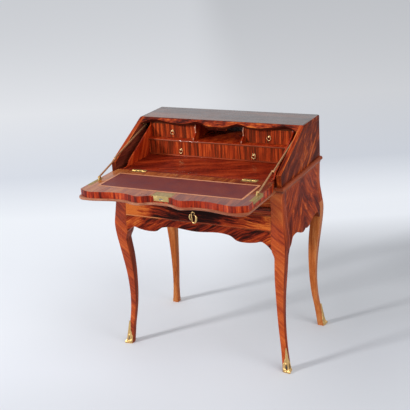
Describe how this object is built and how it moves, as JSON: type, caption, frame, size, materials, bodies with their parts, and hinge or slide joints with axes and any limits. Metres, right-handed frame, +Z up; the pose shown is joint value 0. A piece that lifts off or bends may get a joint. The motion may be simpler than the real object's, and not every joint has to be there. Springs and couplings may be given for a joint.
{
  "type": "slant-front desk",
  "caption": "Slant-front writing desk on cabriole legs, with a fold-down flap on brass stays, a nest of small drawers and a frieze drawer.",
  "frame": {"origin": "on the floor, at the centre of the box round the desk with its flap open", "axes": "+Z up, the front faces -Y, +X is to the right of someone sitting at the desk"},
  "size_m": [0.7488, 0.7234, 0.92],
  "materials": {
    "veneer": "French-polished rosewood veneer",
    "veneer_light": "French-polished tulipwood veneer",
    "veneer_dark": "French-polished dark rosewood veneer",
    "carcase": "bare planed oak",
    "leather": "waxed burgundy skiver",
    "brass": "aged polished brass",
    "gilt": "gilt bronze",
    "steel": "filed steel"
  },
  "bodies": {
    "case": {"top_board": "veneer", "top_rail": "veneer_light", "side_panel_left": "veneer_dark", "side_panel_right": "veneer_dark", "back_panel": "carcase", "front_rail": "veneer", "case_floor": "carcase", "waist_moulding": "veneer_light", "deck": "veneer", "cheek_left": "veneer_light", "cheek_right": "veneer_light", "nest_partition_left": "veneer_light", "nest_partition_right": "veneer_light", "nest_base": "veneer_light", "nest_shelf": "veneer_light", "nest_cornice_left": "veneer_light", "nest_cornice_right": "veneer_light", "hinge_leaf_case_left": "brass", "hinge_leaf_case_right": "brass", "leg_front_left": "veneer_light", "leg_front_right": "veneer_light", "leg_back_left": "veneer_light", "leg_back_right": "veneer_light", "shoe_front_left": "gilt", "shoe_front_right": "gilt", "shoe_back_left": "gilt", "shoe_back_right": "gilt", "lower_side_left": "veneer_dark", "lower_side_right": "veneer_dark", "lower_back": "carcase", "drawer_runner_left": "carcase", "drawer_runner_right": "carcase", "fascia_panel": "veneer", "drawer_rail": "veneer", "front_apron": "veneer"},
    "flap": {"flap": "veneer", "leather_panel": "leather", "flap_lock": "brass", "hinge_leaf_flap_left": "brass", "hinge_leaf_flap_right": "brass", "stay_foot_left": "brass", "stay_foot_right": "brass"},
    "flap_bolt": {"flap_lock_bolt": "steel"},
    "stay_lower_left": {"stay_lower_left": "brass"},
    "stay_lower_right": {"stay_lower_right": "brass"},
    "stay_upper_left": {"stay_upper_left": "brass"},
    "stay_upper_right": {"stay_upper_right": "brass"},
    "frieze_drawer": {"drawer_front": "veneer", "drawer_box": "carcase", "escutcheon": "gilt", "drawer_lock": "brass"},
    "drawer_bolt": {"drawer_lock_bolt": "steel"},
    "upper_drawer_left": {"upper_drawer_left": "veneer_light"},
    "upper_drawer_right": {"upper_drawer_right": "veneer_light"},
    "lower_drawer_left": {"lower_drawer_left": "veneer_light"},
    "lower_drawer_right": {"lower_drawer_right": "veneer_light"},
    "upper_ring_left": {"upper_ring_left": "brass"},
    "upper_ring_right": {"upper_ring_right": "brass"},
    "lower_ring_left": {"lower_ring_left": "brass"},
    "lower_ring_right": {"lower_ring_right": "brass"}
  },
  "joints": [
    {"name": "flap_hinge", "type": "hinge", "parent": "case", "child": "flap", "pos_m": [0, -0.0787, 0.77], "axis": [1, 0, 0], "range_deg": [-153.8, 0]},
    {"name": "flap_bolt_slide", "type": "slide", "parent": "flap", "child": "flap_bolt", "axis": [0, 1, 0], "range_m": [-0.008, 0]},
    {"name": "stay_lower_left_pivot", "type": "hinge", "parent": "flap", "child": "stay_lower_left", "pos_m": [-0.3283, -0.2187, 0.779], "axis": [1, 0, 0], "range_deg": [-13.6, 0]},
    {"name": "stay_lower_right_pivot", "type": "hinge", "parent": "flap", "child": "stay_lower_right", "pos_m": [0.3283, -0.2187, 0.779], "axis": [1, 0, 0], "range_deg": [-13.6, 0]},
    {"name": "stay_upper_left_pivot", "type": "hinge", "parent": "case", "child": "stay_upper_left", "pos_m": [-0.3333, 0.1693, 0.8885], "axis": [1, 0, 0], "range_deg": [0, 13.2]},
    {"name": "stay_upper_right_pivot", "type": "hinge", "parent": "case", "child": "stay_upper_right", "pos_m": [0.3333, 0.1693, 0.8885], "axis": [1, 0, 0], "range_deg": [0, 13.2]},
    {"name": "frieze_drawer_slide", "type": "slide", "parent": "case", "child": "frieze_drawer", "axis": [0, -1, 0], "range_m": [0, 0.26]},
    {"name": "drawer_bolt_slide", "type": "slide", "parent": "frieze_drawer", "child": "drawer_bolt", "axis": [0, 0, -1], "range_m": [-0.007, 0]},
    {"name": "upper_drawer_left_slide", "type": "slide", "parent": "case", "child": "upper_drawer_left", "axis": [0, -1, 0], "range_m": [0, 0.11]},
    {"name": "upper_drawer_right_slide", "type": "slide", "parent": "case", "child": "upper_drawer_right", "axis": [0, -1, 0], "range_m": [0, 0.11]},
    {"name": "lower_drawer_left_slide", "type": "slide", "parent": "case", "child": "lower_drawer_left", "axis": [0, -1, 0], "range_m": [0, 0.14]},
    {"name": "lower_drawer_right_slide", "type": "slide", "parent": "case", "child": "lower_drawer_right", "axis": [0, -1, 0], "range_m": [0, 0.14]},
    {"name": "upper_ring_left_swing", "type": "hinge", "parent": "upper_drawer_left", "child": "upper_ring_left", "pos_m": [-0.212, 0.1691, 0.868], "axis": [-1, 0, 0], "range_deg": [0, 85]},
    {"name": "upper_ring_right_swing", "type": "hinge", "parent": "upper_drawer_right", "child": "upper_ring_right", "pos_m": [0.212, 0.1691, 0.868], "axis": [-1, 0, 0], "range_deg": [0, 85]},
    {"name": "lower_ring_left_swing", "type": "hinge", "parent": "lower_drawer_left", "child": "lower_ring_left", "pos_m": [-0.16, 0.1351, 0.801], "axis": [-1, 0, 0], "range_deg": [0, 85]},
    {"name": "lower_ring_right_swing", "type": "hinge", "parent": "lower_drawer_right", "child": "lower_ring_right", "pos_m": [0.16, 0.1351, 0.801], "axis": [-1, 0, 0], "range_deg": [0, 85]}
  ],
  "couplings": [
    {"joint": "stay_lower_left_pivot", "follows": "flap_hinge", "ratio": 0.08633},
    {"joint": "stay_lower_right_pivot", "follows": "flap_hinge", "ratio": 0.08633},
    {"joint": "stay_upper_left_pivot", "follows": "flap_hinge", "ratio": -0.084},
    {"joint": "stay_upper_right_pivot", "follows": "flap_hinge", "ratio": -0.084}
  ]
}
